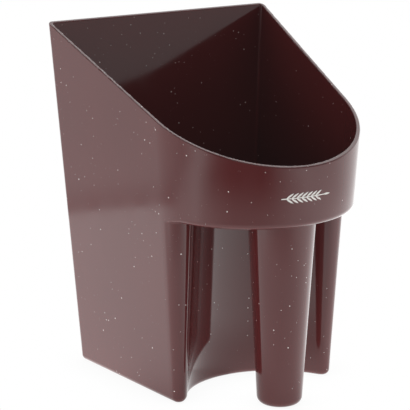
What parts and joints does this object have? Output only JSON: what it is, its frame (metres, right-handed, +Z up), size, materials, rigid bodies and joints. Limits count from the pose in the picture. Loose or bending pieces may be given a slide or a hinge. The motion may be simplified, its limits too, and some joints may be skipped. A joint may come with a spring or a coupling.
{
  "type": "feed scoop",
  "caption": "Moulded plastic feed scoop with a deep sloping bowl and an upright tapered grip hanging inside a front hand recess.",
  "frame": {"origin": "on the ground, at the centre of the footprint of the box around the scoop", "axes": "+Z up, -Y towards the collar and the grip, +Y towards the tall back wall, X across"},
  "size_m": [0.1596, 0.1776, 0.22],
  "materials": {
    "burgundy_plastic": "glossy burgundy polypropylene with sparse fine glitter flecks",
    "white_ink": "thin printed ink"
  },
  "bodies": {
    "root": {"base_floor": "burgundy_plastic", "back_wall": "burgundy_plastic", "left_side_wall": "burgundy_plastic", "right_side_wall": "burgundy_plastic", "front_collar": "burgundy_plastic", "grip_shelf": "burgundy_plastic", "hand_recess_wall": "burgundy_plastic", "left_nose": "burgundy_plastic", "right_nose": "burgundy_plastic", "hanging_grip": "burgundy_plastic", "printed_mark": "white_ink"}
  },
  "joints": []
}
